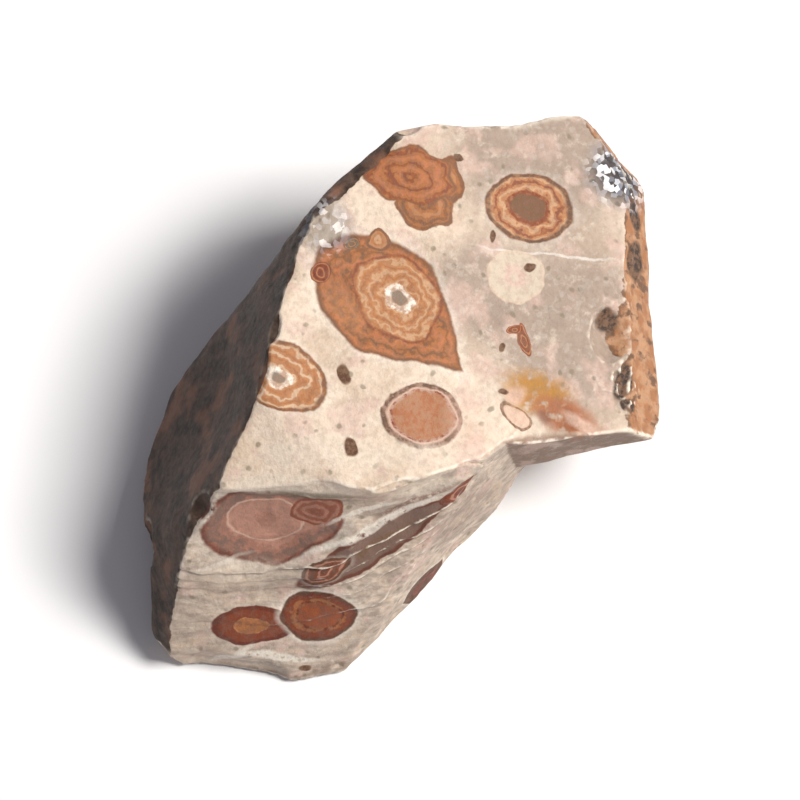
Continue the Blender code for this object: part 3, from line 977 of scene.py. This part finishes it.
# Steps of the noises and masks between which each finish comes in, and its share
STAIN_NOISE = (1.3, 3.0)
STAIN_LIGHT = (0.38, 0.6)
UPRIGHT_STREAKS = ((0.8, 3.0, 0.5), (0.53, 0.66))
UPRIGHT_STRETCH = (1.0, 0.8, 0.25)
STAIN_UNREST = 1.2
STAIN_EDGE = (0.44, 0.54)
BORDER_OUTER = (0.34, 0.46)
BORDER_INNER = (0.85, 0.60)
BORDER_PATCHES = (0.56, 0.44)
BORDER_SHARE = 0.85
RIND_CLOUDS = ((2.2, 4.0, 0.6), (0.4, 0.6))
RIND_WARMTH = ((3.5, 3.0, 0.5), (0.52, 0.68))
RIND_UNREST = 0.6
RIND_EDGE = (0.44, 0.56)
VUG_EDGE = (1.15, 0.8)
VUG_PATCHES = (0.42, 0.58)
CRYSTAL_SIZE = 0.5
GREY_CHANCE = (0.48, 0.60)
WHITE_CHANCE = (0.76, 0.90)
DUST_PATCHES = (0.4, 0.66)
DUST_SHARE = 0.25
# Painted shade in the creases: the bends between which it comes in, and its share
CREASE_SHADE_BEND = (-0.4, -1.6)
CREASE_SHADE_SHARE = 0.45
BRUISE_BEND = (0.35, 1.5)
BRUISE_PATCHES = (0.34, 0.54)
BRUISE_SHARE = 0.9
RIND_BRUISE = 0.75

# Relief of the broken surface: size of the lumps, detail and roughness, then its height, and the shine
RELIEF = (0.4, 5.0, 0.7)
RELIEF_HEIGHT = 0.10
ROUGHNESS = (0.75, 0.45)
SHINE = 0.3

stain = draw.noise(swirl, *STAIN_NOISE)
rim_colour = draw.mix(draw.rise(stain, *STAIN_LIGHT), RIM_OCHRE, RIM_LIGHT)
upright = draw.clouds(draw.stretch(swirl, UPRIGHT_STRETCH), *UPRIGHT_STREAKS)
rim_colour = draw.mix(upright, rim_colour, RIM_DARK)
rim_edge = draw.pushed(draw.mask("rim"), wander, STAIN_UNREST)
colour = draw.mix(draw.rise(rim_edge, *STAIN_EDGE), colour, rim_colour)
border = draw.product(draw.rise(rim_edge, *BORDER_OUTER), draw.rise(rim_edge, *BORDER_INNER))
border = draw.product(border, draw.rise(stain, *BORDER_PATCHES))
colour = draw.mix(draw.product(border, BORDER_SHARE), colour, RIM_DARK)

# Brown weathered rind on the west faces, painted darker as shade
rind_and_shade_colour = draw.mix(draw.clouds(place, *RIND_CLOUDS), RIND_AND_SHADE_BROWN, RIND_AND_SHADE_DARK)
rind_and_shade_colour = draw.mix(draw.clouds(swirl, *RIND_WARMTH), rind_and_shade_colour, RIND_AND_SHADE_WARM)
rind_edge = draw.pushed(draw.mask("rind"), wander, RIND_UNREST)
colour = draw.mix(draw.rise(rind_edge, *RIND_EDGE), colour, rind_and_shade_colour)

for middle, half_sizes, turn in VUGS:
    hollow = draw.mix(draw.rise(mottle, *VUG_PATCHES), VUG_DARK, RIM_DARK)
    colour = draw.mix(patch(middle, half_sizes, turn, 0.0, VUG_EDGE), colour, hollow)

patches = 0.0
for name, share in QUARTZ.items():
    middle, radius, height = ROUGH_PATCHES[name]
    middle = (middle[0] - shift[0], middle[1] - shift[1], middle[2])
    patches = draw.most(patches, draw.product(draw.near(swirl, middle, radius), share))
chance = draw.cells(swirl, CRYSTAL_SIZE)[1]
crystal = draw.mix(draw.rise(chance, *GREY_CHANCE), CRYSTAL_DARK, CRYSTAL_GREY)
crystal = draw.mix(draw.rise(chance, *WHITE_CHANCE), crystal, CRYSTAL_WHITE)
colour = draw.mix(patches, colour, crystal)

dust = draw.product(draw.rise(mottle, *DUST_PATCHES), DUST_SHARE)
colour = draw.mix(dust, colour, DUST_AND_SHADE_BROWN)
# Painted shade: the creases are darkened with the same brown
crease_shade = draw.rise(draw.mask("crest"), *CREASE_SHADE_BEND)
colour = draw.mix(draw.product(crease_shade, CREASE_SHADE_SHARE), colour, DUST_AND_SHADE_BROWN)
bruise = draw.product(draw.rise(draw.mask("crest"), *BRUISE_BEND), draw.rise(wander, *BRUISE_PATCHES))
bruise = draw.product(bruise, draw.less(1.0, draw.product(draw.mask("rind"), RIND_BRUISE)))
colour = draw.mix(draw.product(bruise, BRUISE_SHARE), colour, BRUISE)

relief = draw.noise(place, *RELIEF)
shader = rock.node_tree.nodes["Principled BSDF"]
rock.node_tree.links.new(colour, shader.inputs["Base Color"])
feeds = {"Strength": 1.0, "Distance": RELIEF_HEIGHT * MILLIMETRE, "Height": relief}
bump = draw.add("Bump", feeds, "Normal")
rock.node_tree.links.new(bump, shader.inputs["Normal"])
roughness = draw.add("MapRange", {0: relief, 3: ROUGHNESS[0], 4: ROUGHNESS[1]})
rock.node_tree.links.new(roughness, shader.inputs["Roughness"])
shader.inputs["Specular IOR Level"].default_value = SHINE
thinned.materials.clear()
thinned.materials.append(rock)


# The floor, the light and the camera
# A plain white studio table, a soft lamp high on the right, and a weak bluish light from all round. The
# camera looks down on the stone from the south through a long lens.
FLOOR_SIZE = 6.0
FLOOR_COLOUR = (0.82, 0.82, 0.83, 1.0)
FLOOR_ROUGHNESS = 0.8
KEY_AZIMUTH = 4.0
KEY_RISE = 54.0
KEY_DISTANCE = 3.0
KEY_SIZE = 0.95
KEY_POWER = 125.0
KEY_COLOUR = (1.0, 0.975, 0.93)
SKY_COLOUR = (0.91, 0.89, 0.98, 1.0)
SKY_STRENGTH = 0.26
CAMERA_RISE = 75.0
CAMERA_TARGET = (0.0, -0.0011, 0.012)
CAMERA_DISTANCE = 0.773
CAMERA_LENS = 400.0

bpy.ops.mesh.primitive_plane_add(size=FLOOR_SIZE)
floor = bpy.context.object
floor.name = "floor"
floor_paint = bpy.data.materials.new("white_table")
floor_paint.use_nodes = True
floor_shader = floor_paint.node_tree.nodes["Principled BSDF"]
floor_shader.inputs["Base Color"].default_value = FLOOR_COLOUR
floor_shader.inputs["Roughness"].default_value = FLOOR_ROUGHNESS
floor.data.materials.append(floor_paint)

key = bpy.data.objects.new("key_lamp", bpy.data.lights.new("key_lamp", "AREA"))
key.data.size = KEY_SIZE
key.data.energy = KEY_POWER
key.data.color = KEY_COLOUR
key_heading = Vector(heading(KEY_AZIMUTH, KEY_RISE))
key.location = key_heading * KEY_DISTANCE
key.rotation_euler = key_heading.to_track_quat("Z", "Y").to_euler()
bpy.context.scene.collection.objects.link(key)

sky = bpy.data.worlds.new("studio")
sky.use_nodes = True
sky.node_tree.nodes["Background"].inputs["Color"].default_value = SKY_COLOUR
sky.node_tree.nodes["Background"].inputs["Strength"].default_value = SKY_STRENGTH
bpy.context.scene.world = sky
bpy.context.scene.view_settings.view_transform = "Standard"

camera = bpy.data.objects.new("camera", bpy.data.cameras.new("camera"))
camera.data.lens = CAMERA_LENS
camera_heading = Vector(heading(-90, CAMERA_RISE))
camera.location = Vector(CAMERA_TARGET) + camera_heading * CAMERA_DISTANCE
camera.rotation_euler = camera_heading.to_track_quat("Z", "Y").to_euler()
bpy.context.scene.collection.objects.link(camera)
bpy.context.scene.camera = camera
